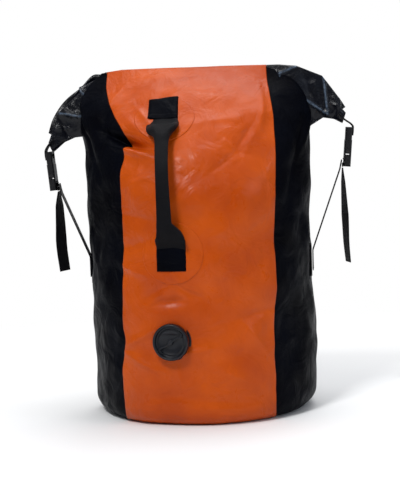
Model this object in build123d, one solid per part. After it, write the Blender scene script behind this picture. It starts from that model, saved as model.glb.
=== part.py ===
"""Roll-top dry bag: a round tarpaulin bag closed by a rolled collar.

Frame: +Z up, the front panel faces -Y, origin at the centre of the flat base. Millimetres.
Each sub-part is written to parts/NODE.step.
"""

from build123d import *
import math
import os

# ---- Driving dimensions ------------------------------------------------------------------
body_radius = 175.0
sheet = 0.9            # tarpaulin thickness
weld_gap = 0.25        # room left between sheets that are welded or sewn on each other
fit_gap = 0.3          # running clearance between pieces that move on each other
base_corner = 28.0     # radius where the wall turns under the bag
base_turn_in = 10.0    # width of the flat ring that the wall ends in under the bag
base_lap = 8.0         # overlap of the base disc on that ring
cylinder_top = 330.0   # the wall is a plain cylinder up to here
front_seam_x = 115.0   # half the width of the front panel
tape_width = 30.0      # seam tape

# The taper from the round wall to the flat, rolled top: (height, half width, half depth)
taper_sections = [
    (380.0, 175.0, 163.0),
    (420.0, 178.0, 140.0),
    (455.0, 182.0, 110.0),
    (485.0, 180.0, 78.0),
    (510.0, 168.0, 46.0),
    (530.0, 150.0, 20.0),
    (541.0, 140.0, 8.0),
]
top_shift = -9.0       # the rolled top is pulled this far towards -X

roll_height = 60.0     # the flat roll, measured along the band
roll_thickness = 15.0
roll_half_length = 148.0
roll_lean = 52.0       # degrees that the roll lies back from upright, on the rear slope
roll_edge = 5.0        # rounding of the roll's long edges
roll_rest = 0.7        # air between the roll and the slope
stiffener_width = 25.0
stiffener_thickness = 1.6
stiffener_margin = 12.0

wing_thickness = 4.0   # two sheets pinched flat with their weld
# Wing outlines in the XZ plane, from the top of the roll out to the tip and back under
right_wing_outline = [
    (105, 541), (160, 538), (200, 521), (229, 482), (230, 469), (236, 461),
    (229, 446), (200, 456), (184, 451), (172, 436), (150, 420),
]
left_wing_outline = [
    (-115, 537), (-142, 533), (-187, 516), (-221, 477), (-223, 469), (-238, 430),
    (-231, 414), (-209, 432), (-186, 438), (-172, 428), (-150, 412),
]

# The roll's ends, bent down behind the wings: x, y, z, tilt, height, thickness of each section
right_roll_end = [
    (166.0, 38.0, 506.0, 14.0, 46.0, 11.0),
    (200.0, 18.0, 488.0, 38.0, 40.0, 9.0),
    (224.0, 8.5, 466.0, 58.0, 26.0, 7.0),
]
left_roll_end = [
    (-181.0, 40.0, 498.0, -14.0, 44.0, 11.0),
    (-210.0, 19.0, 472.0, -42.0, 38.0, 9.0),
    (-228.0, 8.5, 438.0, -64.0, 24.0, 7.0),
]

strap_width = 25.0
strap_thickness = 1.6
grip_width = 25.0
grip_thickness = 5.0
grip_x = -45.5
handle_top_x = -46.0
handle_bottom_x = -36.5
handle_top_z = 460.0
handle_bottom_z = 280.0
handle_patch = 48.0    # side of the square patches that hold the handle's ends
handle_disc_radius = 46.0
handle_webbing = 1.8   # thickness of the handle's sewn ends
grip_top = (-152.0, 434.0)      # (y, z) of the grip's centre line
grip_middle = (-196.0, 372.0)
grip_bottom = (-196.0, 308.0)

valve_x = -39.0
valve_z = 130.0
valve_flange_radius = 29.0
valve_collar_radius = 25.0
valve_neck_radius = 17.0
valve_bore_radius = 14.5
valve_cap_radius = 27.5
valve_neck_depth = 12.0   # how far the neck reaches into the bag
valve_wall = 1.5
cap_height = 8.0
cap_rim = 3.2
cap_dish_depth = 5.0
seal_thickness = 1.2
plug_length = 8.0
plug_radius = 14.2
spider_arms = 4
spider_thickness = 2.0
stem_radius = 1.6
flap_thickness = 1.2
flap_travel = 2.5

anchor_z = 248.0       # where each side strap leaves its patch
anchor_patch = 52.0
anchor_tab = 34.0      # length of strap sewn flat on the patch

buckle_width = 34.0
buckle_thickness = 11.0
buckle_wall = 2.0
buckle_length = 62.0
slot_width = 26.5      # opening for the strap
ladder_length = 15.0   # frame at the strap end of the female half
ladder_bar = 3.2
female_length = 42.0
prong_tip = 20.0       # measured from the strap end of the female half
prong_width = 4.2
prong_reach = 3.0      # how far each catch stands out from its prong
male_bar = 3.4
right_buckle_foot = (235.0, 377.0)
right_buckle_lean = 5.0   # degrees from upright, outwards
left_buckle_foot = (-231.5, 354.0)
left_buckle_lean = 5.0
tail_foot_z = 223.0    # lower end of the hanging strap tails
tail_gap = 1.6         # from the foot of the buckle down to the tail's top

os.makedirs("parts", exist_ok=True)


def save(shape, node):
    export_step(shape, f"parts/{node}.step")


# ---- The bag's wall ----------------------------------------------------------------------
def shift_at(height):
    """Sideways shift of the tapering top at a height."""
    share = (height - cylinder_top) / (taper_sections[-1][0] - cylinder_top)
    return top_shift * share


def taper(inset):
    """The top of the bag as a lofted solid, with its outline drawn in by inset."""
    rings = [Plane.XY.offset(cylinder_top) * Circle(body_radius - inset)]
    for height, half_width, half_depth in taper_sections:
        ring = Ellipse(half_width - inset, half_depth - inset)
        rings.append(Plane.XY.offset(height) * Pos(shift_at(height), 0) * ring)
    if inset > 0:
        return loft(rings, ruled=True) & block(-400, 400, -400, 400, 0, taper_sections[-1][0] - inset)
    return loft(rings, ruled=True)


def barrel(inset, floor):
    """The round part of the bag below the taper, as a solid of revolution."""
    radius = body_radius - inset
    corner = base_corner - inset
    bend = corner * (1 - math.sqrt(0.5))
    outline = Polyline(
        (radius, 0, floor + corner),
        (radius, 0, cylinder_top),
        (0, 0, cylinder_top),
        (0, 0, floor),
        (radius - corner, 0, floor),
    )
    arc = ThreePointArc(
        (radius - corner, 0, floor), (radius - bend, 0, floor + bend), (radius, 0, floor + corner)
    )
    return revolve(make_face(outline + arc), Axis.Z)


def bag_solid(inset):
    """The closed outer shape of the bag, drawn in by inset all round."""
    return barrel(inset, inset) + taper(inset)


def block(x0, x1, y0, y1, z0, z1):
    """An axis-aligned box from its corner coordinates."""
    return Pos((x0 + x1) / 2, (y0 + y1) / 2, (z0 + z1) / 2) * Box(x1 - x0, y1 - y0, z1 - z0)


def shell_panels():
    """The front panel, the back panel and the base disc, cut from one wall."""
    far = 4 * body_radius
    wall = bag_solid(0) - bag_solid(sheet)
    ring_inner = body_radius - base_corner - base_turn_in
    wall -= Pos(0, 0, sheet / 2) * Cylinder(ring_inner, 4 * sheet)
    front_room = block(-front_seam_x, front_seam_x, -far, 0, -far, far)
    front = (wall & front_room) - valve_tube(valve_neck_radius + fit_gap, 0, -20, 20)
    save(front, "front_panel")
    save(wall - front_room, "back_panel")
    disc = Pos(0, 0, sheet / 2) * Cylinder(ring_inner - fit_gap, sheet)
    lap_bottom = sheet + weld_gap
    lap = Pos(0, 0, lap_bottom + sheet / 2) * Cylinder(ring_inner + base_lap, sheet)
    core = Pos(0, 0, sheet) * Cylinder(ring_inner - 2, sheet + weld_gap)
    save(disc + lap + core, "base_disc")


def seam_tapes():
    """Tapes welded inside over the two upright seams of the front panel."""
    outer = body_radius - sheet - weld_gap
    tube = Cylinder(outer, cylinder_top - base_corner - 12) - Cylinder(
        outer - sheet, cylinder_top - base_corner
    )
    tube = Pos(0, 0, (cylinder_top + base_corner) / 2) * tube
    far = 2 * body_radius
    for side, node in ((-1, "left_seam_tape"), (1, "right_seam_tape")):
        x = side * front_seam_x
        room = block(x - tape_width / 3, x + tape_width / 3, -far, 0, 0, far)
        save(tube & room, node)


def sheet_on_wall(depth, thickness, footprint):
    """A sheet lying on the wall at a distance, cut to a footprint that crosses it."""
    return (bag_solid(-depth - thickness) - bag_solid(-depth)) & footprint


# ---- The rolled closure ------------------------------------------------------------------
def roll_plane(x):
    """The plane across the roll's middle stretch: local X up the band, Y through it."""
    lean = math.radians(roll_lean)
    up = Vector(0, -math.sin(lean), math.cos(lean))
    crest = taper_sections[-2]
    rest = roll_thickness / 2 + roll_rest
    edge = Vector(x, crest[2], crest[0])
    out = Vector(0, math.cos(lean), math.sin(lean))
    centre = edge - up * (roll_height / 2) + out * rest
    return Plane(origin=centre, x_dir=up, z_dir=(1, 0, 0))


def rounded_band(height, thickness):
    """Cross-section of the flat roll."""
    return RectangleRounded(height, thickness, min(roll_edge, thickness / 2 - 0.1))


def roll_middle():
    """The straight stretch of the roll, hollow for its stiffening strip."""
    start = roll_plane(top_shift - roll_half_length)
    band = extrude(start * rounded_band(roll_height, roll_thickness), 2 * roll_half_length)
    slot_start = roll_plane(top_shift - roll_half_length + stiffener_margin)
    slot_length = 2 * (roll_half_length - stiffener_margin)
    slot = Rectangle(stiffener_width + 2 * fit_gap, stiffener_thickness + 2 * fit_gap)
    band -= extrude(slot_start * slot, slot_length)
    save(band, "closure_roll")
    strip_start = roll_plane(top_shift - roll_half_length + stiffener_margin + fit_gap)
    strip = Rectangle(stiffener_width, stiffener_thickness)
    save(extrude(strip_start * strip, slot_length - 2 * fit_gap), "stiffener_strip")


def wing(outline):
    """One flattened end of the collar, standing beside the tapered top."""
    face = make_face(Polyline(*[(x, 0, z) for x, z in outline], close=True))
    plate = extrude(face, wing_thickness / 2, dir=(0, 1, 0), both=True)
    return plate - bag_solid(-weld_gap)


def roll_end(start, steps, node):
    """One end of the roll, bent down behind its wing.

    Each step is (x, y, z, tilt, height, thickness): the centre of a cross-section, the angle
    of the band's height from upright in the XZ plane, and its size there.
    """
    sections = [roll_plane(start) * Rectangle(roll_height - 8, roll_thickness - 3)]
    for x, y, z, tilt, height, thickness in steps:
        angle = math.radians(tilt)
        up = Vector(math.sin(angle), 0, math.cos(angle))
        along = Vector(math.cos(angle), 0, -math.sin(angle))
        plane = Plane(origin=(x, y, z), x_dir=up, z_dir=along)
        sections.append(plane * Rectangle(height, thickness))
    save(loft(sections, ruled=True), node)


# ---- Handle ------------------------------------------------------------------------------
def cross_cylinder(x, z, radius):
    """A cylinder along Y in front of the bag, as a footprint."""
    return Pos(x, -1.5 * body_radius, z) * Rot(90, 0, 0) * Cylinder(radius, 3 * body_radius)


def wall_y(x, z):
    """The wall's front y at a place, on the cylinder or between two taper sections."""
    rings = [(cylinder_top, body_radius, body_radius)] + taper_sections
    if z <= cylinder_top:
        return -math.sqrt(body_radius**2 - x**2)
    for low, high in zip(rings, rings[1:]):
        if low[0] <= z <= high[0]:
            share = (z - low[0]) / (high[0] - low[0])
            half_width = low[1] + share * (high[1] - low[1])
            half_depth = low[2] + share * (high[2] - low[2])
            across = (x - shift_at(z)) / half_width
            return -half_depth * math.sqrt(1 - across**2)
    raise ValueError("above the bag")


def handle_mounts():
    """Round reinforcing discs, the webbing's sewn ends and the square cover patches."""
    half = handle_patch / 2
    slope = math.hypot(1, (wall_y(handle_top_x, 490) - wall_y(handle_top_x, 460)) / 30)
    top_drop = handle_patch / slope
    disc_outer = weld_gap + sheet
    web_outer = disc_outer + weld_gap + handle_webbing
    places = (
        ("top", handle_top_x, handle_top_z, handle_top_z, handle_top_z + top_drop, 0.72),
        ("bottom", handle_bottom_x, handle_bottom_z - 20, handle_bottom_z - handle_patch, handle_bottom_z, 1.0),
    )
    for name, x, disc_z, low, high, squash in places:
        oval = Ellipse(handle_disc_radius, handle_disc_radius * squash)
        footprint = extrude(Plane.XZ * Pos(x, disc_z) * oval, 2 * body_radius)
        save(sheet_on_wall(weld_gap, sheet, footprint), f"{name}_handle_disc")
        edge = 4.0
        sewn = block(x - half + edge, x + half - edge, -300, 0, low + edge, high - edge)
        save(sheet_on_wall(disc_outer + weld_gap, handle_webbing, sewn), f"{name}_handle_tab")
        cover = block(x - half, x + half, -300, 0, low, high)
        save(sheet_on_wall(web_outer + weld_gap, sheet, cover), f"{name}_handle_cover")


def circle_through(a, b, c):
    """Centre and radius of the circle through three (y, z) points."""
    d = 2 * (a[0] * (b[1] - c[1]) + b[0] * (c[1] - a[1]) + c[0] * (a[1] - b[1]))
    sa, sb, sc = (p[0] ** 2 + p[1] ** 2 for p in (a, b, c))
    y = (sa * (b[1] - c[1]) + sb * (c[1] - a[1]) + sc * (a[1] - b[1])) / d
    z = (sa * (c[0] - b[0]) + sb * (a[0] - c[0]) + sc * (b[0] - a[0])) / d
    return (y, z), math.dist((y, z), a)


def handle_grip():
    """The grip: webbing folded double, bowed out from the wall, and its two widening ends."""
    centre, radius = circle_through(grip_top, grip_middle, grip_bottom)

    def on_ring(point, r):
        scale = r / math.dist(centre, point)
        y = centre[0] + (point[0] - centre[0]) * scale
        z = centre[1] + (point[1] - centre[1]) * scale
        return (grip_x, y, z)

    inner, outer = radius - grip_thickness / 2, radius + grip_thickness / 2
    ends = [on_ring(p, r) for p in (grip_top, grip_bottom) for r in (inner, outer)]
    outline = (
        ThreePointArc(ends[0], on_ring(grip_middle, inner), ends[2])
        + Line(ends[2], ends[3])
        + ThreePointArc(ends[3], on_ring(grip_middle, outer), ends[1])
        + Line(ends[1], ends[0])
    )
    grip = extrude(make_face(outline), grip_width / 2, dir=(1, 0, 0), both=True)
    save(grip, "handle_grip")

    stack = weld_gap * 3 + sheet * 2 + handle_webbing + 1.4
    for name, end, x, z, sign in (
        ("top", grip_top, handle_top_x, handle_top_z - 3, 1),
        ("bottom", grip_bottom, handle_bottom_x, handle_bottom_z + 3, -1),
    ):
        out = Vector(0, end[0] - centre[0], end[1] - centre[1]).normalized()
        along = Vector(0, out.Z, -out.Y) * sign
        near = Vector(grip_x, *end) + along * fit_gap
        far = Vector(x, wall_y(x, z) - stack, z)
        near_plane = Plane(origin=near, x_dir=(1, 0, 0), z_dir=along)
        lean = (far - near).normalized()
        far_plane = Plane(origin=far, x_dir=(1, 0, 0), z_dir=lean)
        web = loft(
            [
                near_plane * Rectangle(grip_width, grip_thickness),
                far_plane * Rectangle(handle_patch - 8, handle_webbing),
            ],
            ruled=True,
        )
        save(web, f"{name}_handle_end")


# ---- Air valve ---------------------------------------------------------------------------
def valve_plane(height):
    """A plane square to the valve's axis, height outside the wall."""
    y = wall_y(valve_x, valve_z)
    out = Vector(valve_x, y, 0).normalized()
    side = Vector(-out.Y, out.X, 0)
    return Plane(origin=Vector(valve_x, y, valve_z) + out * height, x_dir=side, z_dir=out)


def valve_tube(radius, bore, low, high):
    """A round piece of the valve from one height to another, bored through."""
    tube = extrude(valve_plane(low) * Circle(radius), high - low)
    if bore:
        tube -= extrude(valve_plane(low - 1) * Circle(bore), high - low + 2)
    return tube


def valve():
    flange_room = valve_tube(valve_flange_radius, valve_neck_radius + fit_gap, -20, 20)
    save(sheet_on_wall(weld_gap, sheet, flange_room), "valve_flange")

    collar_low = 2 * weld_gap + sheet
    neck_top = collar_low + 3.0
    neck = valve_tube(valve_neck_radius, valve_bore_radius, -valve_neck_depth, neck_top)
    collar = valve_tube(valve_collar_radius, valve_bore_radius, -6, neck_top)
    collar -= bag_solid(-collar_low)
    hub = valve_tube(4.0, stem_radius + fit_gap, -valve_neck_depth, spider_thickness - valve_neck_depth)
    spider = hub
    for arm in range(spider_arms):
        turn = Rot(0, 0, 360 / spider_arms * arm)
        reach = Pos((valve_bore_radius + 4) / 2, 0, spider_thickness / 2)
        bar = Box(valve_bore_radius - 2, 2.4, spider_thickness)
        spider += valve_plane(-valve_neck_depth).location * turn * reach * bar
    save(neck + collar + spider, "valve_body")

    inner_ring = valve_tube(valve_flange_radius, valve_neck_radius + fit_gap, -20, 20)
    save(
        (bag_solid(sheet + weld_gap) - bag_solid(2 * sheet + weld_gap)) & inner_ring,
        "valve_backing_ring",
    )

    flap_top = -valve_neck_depth - weld_gap
    flap = valve_tube(valve_bore_radius + 1.2, 0, flap_top - flap_thickness, flap_top)
    stem_top = spider_thickness - valve_neck_depth + flap_travel + fit_gap
    flap += valve_tube(stem_radius, 0, flap_top - 0.1, stem_top + 1.5)
    flap += valve_tube(stem_radius + 1.2, 0, stem_top, stem_top + 1.5)
    save(flap, "valve_flap")

    seal_low = neck_top + fit_gap
    seal = valve_tube(valve_neck_radius + 2.5, plug_radius + fit_gap, seal_low, seal_low + seal_thickness)
    save(seal, "valve_seal")

    cap_low = seal_low + seal_thickness + fit_gap
    cap_top = cap_low + cap_height
    cap = valve_tube(valve_cap_radius, 0, cap_low, cap_top)
    dish_floor = cap_top - cap_dish_depth
    cap -= valve_tube(valve_cap_radius - cap_rim, 0, dish_floor, cap_top + 1)
    cap += finger_grip(dish_floor, cap_top - 1.2)
    cap += valve_tube(plug_radius, plug_radius - valve_wall, cap_low - plug_length, cap_low + 0.1)
    skirt_low = neck_top - 1.5
    cap += valve_tube(valve_cap_radius, valve_collar_radius + 2 * weld_gap, skirt_low, cap_low + 0.1)
    save(cap, "valve_cap")


def finger_grip(low, high):
    """The S-shaped rib across the cap's dish, with a round boss at its centre."""
    reach = valve_cap_radius - cap_rim + 0.5
    rib = 3.2
    grip = valve_tube(4.5, 0, low - 0.2, high)
    plane = valve_plane(low - 0.2)
    for turn in (0, 180):
        arc = ThreePointArc((0, 0), (reach * 0.45, reach * 0.16), (reach * 0.92, reach * 0.38))
        path = (Rot(0, 0, turn + 12) * arc)
        ribbon = trace(path, rib)
        grip += extrude(plane * ribbon, high - low + 0.2)
    return grip


# ---- Side straps and buckles -------------------------------------------------------------
class Buckle:
    """One side-release buckle. Local Z runs from its strap end up to the roll, local X is the
    strap's width and local Y its thickness, positive away from the bag."""

    def __init__(self, side, foot, lean):
        self.side = side
        angle = math.radians(lean)
        self.up = Vector(side * math.sin(angle), 0, math.cos(angle))
        self.out = Vector(side * math.cos(angle), 0, -math.sin(angle))
        self.foot = Vector(foot[0], 0, foot[1])
        across = self.out.cross(self.up)
        self.plane = Plane(origin=self.foot, x_dir=across, z_dir=self.up)

    def place(self, shape):
        return self.plane.location * shape

    def point(self, out, up):
        """A point in the bag's frame from its local thickness and length coordinates."""
        p = self.foot + self.out * out + self.up * up
        return (p.X, 0, p.Z)

    def female(self):
        """The half on the adjustable strap: socket, side windows and ladder."""
        socket_low = ladder_length
        half = buckle_width / 2
        deep = buckle_thickness / 2
        body = block(-half, half, -deep, deep, 0, female_length)
        body = fillet(body.edges().filter_by(Axis.Z), 3.0)
        cavity = block(
            -half + buckle_wall, half - buckle_wall, -deep + buckle_wall, deep - buckle_wall,
            socket_low + buckle_wall, female_length + 1,
        )
        body -= cavity
        catch = prong_tip + 9.0
        body -= block(-half - 1, half + 1, -deep + buckle_wall, deep - buckle_wall, prong_tip - 2, catch)
        slot = slot_width / 2
        body -= block(-slot, slot, -deep - 1, deep + 1, ladder_bar, ladder_length - 1)
        bar_z = (ladder_bar + ladder_length - 1) / 2
        body += Pos(0, 0, bar_z) * Rot(0, 90, 0) * Cylinder(ladder_bar / 2, slot_width + 0.4)
        return self.place(body)

    def male(self):
        """The half sewn to the end of the roll: head, strap bar and centre tongue."""
        half = buckle_width / 2
        deep = buckle_thickness / 2
        head_low = female_length + fit_gap
        head = block(-half, half, -deep + 0.5, deep - 0.5, head_low, buckle_length)
        head = fillet(head.edges().filter_by(Axis.Z), 3.0)
        slot = slot_width / 2
        head -= block(-slot, slot, -deep, deep, buckle_length - male_bar - 8, buckle_length - male_bar)
        tongue_deep = deep - buckle_wall - fit_gap
        head += block(-3, 3, -tongue_deep, tongue_deep, prong_tip + 10, head_low + 0.1)
        return self.place(head)

    def prong(self, way):
        """One springy arm of the male half, with its catch standing in the side window."""
        deep = buckle_thickness / 2 - buckle_wall - fit_gap
        inside = buckle_width / 2 - buckle_wall - fit_gap
        top = female_length
        arm = block(inside - prong_width, inside, -deep, deep, prong_tip, top)
        catch_top = prong_tip + 9.0 - fit_gap
        catch = Polyline(
            (inside - 0.1, 0, prong_tip + 1), (inside + prong_reach - 1.2, 0, prong_tip + 5),
            (inside + prong_reach - 1.2, 0, catch_top), (inside - 0.1, 0, catch_top), close=True,
        )
        arm += extrude(make_face(catch), deep, dir=(0, 1, 0), both=True)
        if way < 0:
            arm = mirror(arm, Plane.YZ)
        return self.place(arm)

    def upper_strap(self, tip):
        """Webbing sewn round the roll's tip and through the male half's bar."""
        face = buckle_thickness / 2 - 0.5 + fit_gap
        low = self.point(face, buckle_length - male_bar - 7)
        bend = self.point(face, buckle_length + 1.5)
        path = [low, bend, (tip[0], 0, tip[1])]
        outside = [(x + self.side * strap_thickness, 0, z) for x, _, z in reversed(path)]
        outline = make_face(Polyline(*path, *outside, close=True))
        return extrude(outline, strap_width / 2, dir=(0, 1, 0), both=True)

    def strap_turn(self):
        """The webbing where it turns round the ladder's middle bar and comes out below it."""
        bar_z = (ladder_bar + ladder_length - 1) / 2
        inner = ladder_bar / 2 + fit_gap
        outer = inner + strap_thickness
        half = strap_width / 2
        ring = Pos(0, 0, bar_z) * Rot(0, 90, 0) * (
            Cylinder(outer, strap_width) - Cylinder(inner, strap_width + 2)
        )
        ring &= block(-half, half, 0, 20, -20, 40)
        face = buckle_thickness / 2 + 0.2
        skin = face + strap_thickness
        ring += block(-half, half, -skin, 0.1, bar_z + inner, bar_z + outer)
        ring += block(-half, half, -skin, 0.1, bar_z - outer, bar_z - inner)
        ring += block(-half, half, -skin, -face, -0.2, bar_z - inner)
        return self.place(ring)

    def tail(self):
        """The free end of the strap, hanging from under the ladder."""
        x, _, z = self.point(-buckle_thickness / 2 - 0.2, -tail_gap)
        back = x - self.side * strap_thickness
        corners = [(x, 0, z), (x, 0, tail_foot_z), (back, 0, tail_foot_z), (back, 0, z)]
        face = make_face(Polyline(*corners, close=True))
        return extrude(face, strap_width / 2, dir=(0, 1, 0), both=True)

    def lower_strap(self):
        """The side strap: a tab sewn flat on the wall, then a taut run up to the ladder."""
        on_wall = body_radius + 2 * weld_gap + sheet + 0.3
        x0 = self.side * on_wall
        x1 = self.side * (on_wall + strap_thickness)
        start_out = -buckle_thickness / 2 - fit_gap - 0.3 - strap_thickness
        top_in = self.point(start_out - strap_thickness - 0.4, 11.0)
        top_out = self.point(start_out - 0.4, 11.0)
        low_in = self.point(start_out - strap_thickness - 5.5, -9.0)
        low_out = self.point(start_out - 5.5, -9.0)
        points = [
            (x0, 0, anchor_z - anchor_tab), (x1, 0, anchor_z - anchor_tab), (x1, 0, anchor_z),
            low_out, top_out, top_in, low_in, (x0, 0, anchor_z + 1),
        ]
        return extrude(make_face(Polyline(*points, close=True)), strap_width / 2, dir=(0, 1, 0), both=True)


def side_closure(name, side, foot, lean, wing_tip):
    buckle = Buckle(side, foot, lean)
    save(buckle.female(), f"{name}_buckle_female")
    save(buckle.male(), f"{name}_buckle_male")
    save(buckle.prong(-side), f"{name}_rear_prong")
    save(buckle.prong(side), f"{name}_front_prong")
    save(buckle.upper_strap(wing_tip), f"{name}_upper_strap")
    save(buckle.strap_turn(), f"{name}_strap_turn")
    save(buckle.tail(), f"{name}_strap_tail")
    save(buckle.lower_strap(), f"{name}_lower_strap")
    half = anchor_patch / 2
    room = Pos(side * body_radius, 0, anchor_z - anchor_tab / 2) * Box(
        body_radius, anchor_patch, anchor_tab + 16
    )
    save(sheet_on_wall(weld_gap, sheet, room), f"{name}_anchor_patch")


shell_panels()
seam_tapes()
roll_middle()
save(wing(right_wing_outline), "right_collar_wing")
save(wing(left_wing_outline), "left_collar_wing")
roll_end(top_shift + roll_half_length + 0.3, right_roll_end, "right_roll_end")
roll_end(top_shift - roll_half_length - 0.3, left_roll_end, "left_roll_end")
handle_mounts()
handle_grip()
valve()
side_closure("right", 1, right_buckle_foot, right_buckle_lean, (232.2, 451.0))
side_closure("left", -1, left_buckle_foot, left_buckle_lean, (-236.8, 425.5))
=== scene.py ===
"""A roll-top dry bag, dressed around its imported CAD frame. Lengths in the tables are millimetres."""

import math

import bpy
import numpy as np
from mathutils import Matrix, Vector


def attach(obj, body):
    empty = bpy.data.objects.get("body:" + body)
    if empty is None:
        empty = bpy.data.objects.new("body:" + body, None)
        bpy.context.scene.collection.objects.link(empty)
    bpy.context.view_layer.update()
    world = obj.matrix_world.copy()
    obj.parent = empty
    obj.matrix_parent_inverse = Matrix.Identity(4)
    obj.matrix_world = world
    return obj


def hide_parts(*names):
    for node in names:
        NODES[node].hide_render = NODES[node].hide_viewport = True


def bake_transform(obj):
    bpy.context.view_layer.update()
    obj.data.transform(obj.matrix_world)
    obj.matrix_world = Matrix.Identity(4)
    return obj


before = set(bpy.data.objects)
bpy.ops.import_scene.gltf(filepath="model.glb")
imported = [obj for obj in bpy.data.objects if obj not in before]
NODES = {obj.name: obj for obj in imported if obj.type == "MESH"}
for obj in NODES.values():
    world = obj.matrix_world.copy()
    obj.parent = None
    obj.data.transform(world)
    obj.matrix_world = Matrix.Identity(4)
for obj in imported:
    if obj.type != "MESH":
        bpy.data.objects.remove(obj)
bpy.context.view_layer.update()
MM = 0.001


# ---- Camera and light --------------------------------------------------------------------
def make_camera():
    azimuth, elevation, roll = (math.radians(d) for d in (3.0, 5.0, 2.0))
    distance = 2.4
    target = Vector((-0.002, 0.0, 0.254))
    back = Vector((
        math.sin(azimuth) * math.cos(elevation),
        -math.cos(azimuth) * math.cos(elevation),
        math.sin(elevation),
    ))
    right = Vector((math.cos(azimuth), math.sin(azimuth), 0))
    up = back.cross(right)
    image_right = right * math.cos(roll) - up * math.sin(roll)
    image_up = right * math.sin(roll) + up * math.cos(roll)
    data = bpy.data.cameras.new("camera")
    data.sensor_width = 36.0
    data.lens = 108.9
    data.clip_end = 50
    camera = bpy.data.objects.new("camera", data)
    bpy.context.scene.collection.objects.link(camera)
    turn = Matrix((image_right, image_up, back)).transposed()
    camera.matrix_world = Matrix.Translation(target + back * distance) @ turn.to_4x4()
    bpy.context.scene.camera = camera


def area_light(name, place, aim, size, power, colour=(1, 1, 1)):
    data = bpy.data.lights.new(name, "AREA")
    data.size = size
    data.energy = power
    data.color = colour
    light = bpy.data.objects.new(name, data)
    light.location = place
    light.rotation_euler = (Vector(aim) - Vector(place)).to_track_quat("-Z", "Y").to_euler()
    bpy.context.scene.collection.objects.link(light)


def make_studio():
    area_light("key", (-1.0, -2.2, 2.9), (0, 0, 0.35), 0.7, 70)
    area_light("top", (0.2, 0.4, 2.6), (0, 0, 0.4), 1.4, 26)
    area_light("fill", (2.4, -1.4, 1.4), (0, 0, 0.35), 0.9, 12, (0.8, 0.88, 1.0))
    area_light("rear", (0.6, 2.8, 1.6), (0, 0, 0.3), 2.0, 30)
    make_world()
    make_floor()


def make_world():
    """A soft dome, darker toward the horizon, that the camera sees as plain white."""
    world = bpy.data.worlds.new("studio")
    world.use_nodes = True
    tree = world.node_tree
    ground = tree.nodes["Background"]
    ground.inputs["Strength"].default_value = 0.62
    sky = node(tree, "ShaderNodeTexCoord")
    split = tree.nodes.new("ShaderNodeSeparateXYZ")
    tree.links.new(sky.outputs["Generated"], split.inputs["Vector"])
    dome = ramp(tree, split.outputs["Z"], 0.1, 0.95, (0.14, 0.145, 0.16), (0.95, 0.97, 1.0))
    tree.links.new(dome, ground.inputs["Color"])
    white = tree.nodes.new("ShaderNodeBackground")
    white.inputs["Color"].default_value = (1, 1, 1, 1)
    white.inputs["Strength"].default_value = 1.0
    path = tree.nodes.new("ShaderNodeLightPath")
    mix = tree.nodes.new("ShaderNodeMixShader")
    tree.links.new(path.outputs["Is Camera Ray"], mix.inputs["Fac"])
    tree.links.new(ground.outputs["Background"], mix.inputs[1])
    tree.links.new(white.outputs["Background"], mix.inputs[2])
    tree.links.new(mix.outputs["Shader"], tree.nodes["World Output"].inputs["Surface"])
    bpy.context.scene.world = world
    bpy.context.scene.view_settings.view_transform = "Standard"


def make_floor():
    """A pale floor that fades to white, for the camera alone, a short way from the bag."""
    side = 30.0
    corners = [(-side, -side, 0), (side, -side, 0), (side, side, 0), (-side, side, 0)]
    mesh = bpy.data.meshes.new("floor")
    mesh.from_pydata(corners, [], [(0, 1, 2, 3)])
    floor = bpy.data.objects.new("floor", mesh)
    floor.location.z = -0.0005
    bpy.context.scene.collection.objects.link(floor)
    material, tree, shader = new_material("floor")
    shader.inputs["Base Color"].default_value = (0.88, 0.88, 0.88, 1)
    shader.inputs["Roughness"].default_value = 0.9
    glow = tree.nodes.new("ShaderNodeEmission")
    reach = node(tree, "ShaderNodeVectorMath", operation="LENGTH")
    tree.links.new(coordinates(tree), reach.inputs[0])
    far = node(tree, "ShaderNodeMapRange")
    far.inputs["From Min"].default_value = 0.35
    far.inputs["From Max"].default_value = 1.1
    tree.links.new(reach.outputs["Value"], far.inputs["Value"])
    seen = tree.nodes.new("ShaderNodeLightPath")
    both = node(tree, "ShaderNodeMath", operation="MULTIPLY")
    tree.links.new(far.outputs["Result"], both.inputs[0])
    tree.links.new(seen.outputs["Is Camera Ray"], both.inputs[1])
    blend = tree.nodes.new("ShaderNodeMixShader")
    tree.links.new(both.outputs["Value"], blend.inputs["Fac"])
    tree.links.new(shader.outputs["BSDF"], blend.inputs[1])
    tree.links.new(glow.outputs["Emission"], blend.inputs[2])
    tree.links.new(blend.outputs["Shader"], tree.nodes["Material Output"].inputs["Surface"])
    mesh.materials.append(material)


# ---- Node helpers ------------------------------------------------------------------------
def new_material(name):
    material = bpy.data.materials.new(name)
    material.use_nodes = True
    tree = material.node_tree
    return material, tree, tree.nodes["Principled BSDF"]


def node(tree, kind, **values):
    made = tree.nodes.new(kind)
    for key, value in values.items():
        if key in made.inputs:
            made.inputs[key].default_value = value
        else:
            setattr(made, key, value)
    return made


def coordinates(tree):
    """Object coordinates in metres."""
    return node(tree, "ShaderNodeTexCoord").outputs["Object"]


def ramp(tree, source, low, high, low_colour, high_colour):
    made = node(tree, "ShaderNodeValToRGB")
    made.color_ramp.elements[0].position = low
    made.color_ramp.elements[1].position = high
    made.color_ramp.elements[0].color = (*low_colour, 1)
    made.color_ramp.elements[1].color = (*high_colour, 1)
    tree.links.new(source, made.inputs["Fac"])
    return made.outputs["Color"]


def bump(tree, source, shader, distance, strength, after=None):
    made = node(tree, "ShaderNodeBump", Strength=strength, Distance=distance)
    tree.links.new(source, made.inputs["Height"])
    if after is not None:
        tree.links.new(after, made.inputs["Normal"])
    tree.links.new(made.outputs["Normal"], shader.inputs["Normal"])
    return made.outputs["Normal"]


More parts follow.
